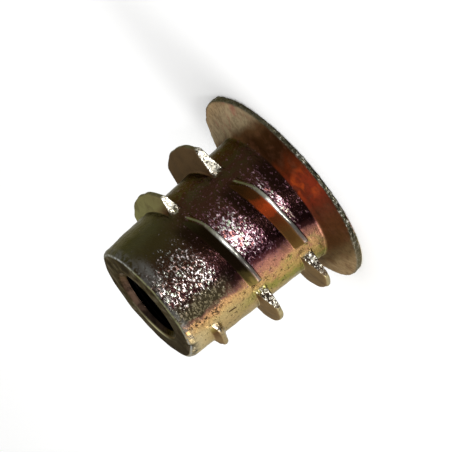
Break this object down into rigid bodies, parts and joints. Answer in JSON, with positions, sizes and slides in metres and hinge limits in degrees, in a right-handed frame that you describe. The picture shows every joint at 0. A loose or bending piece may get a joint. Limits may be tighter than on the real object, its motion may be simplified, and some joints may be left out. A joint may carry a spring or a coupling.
{
  "type": "threaded insert",
  "caption": "Flanged cast insert that screws into wood by coarse interrupted fins and gives a machine-threaded bore, driven by a hexagon socket.",
  "frame": {"origin": "centre of the flange's flat face, which is the face the insert stands on", "axes": "+Z along the axis from the flange to the tip; the fins point along +X, +Y, -X and -Y, and the lowest fin points along -X"},
  "size_m": [0.0154, 0.0154, 0.013],
  "materials": {
    "passivated_zinc": "cast zinc alloy with an iridescent yellow to olive and purple-brown passivated skin, finely pitted, worn pale at the fin crests and the tip's edge"
  },
  "bodies": {
    "root": {"insert": "passivated_zinc"}
  },
  "joints": []
}
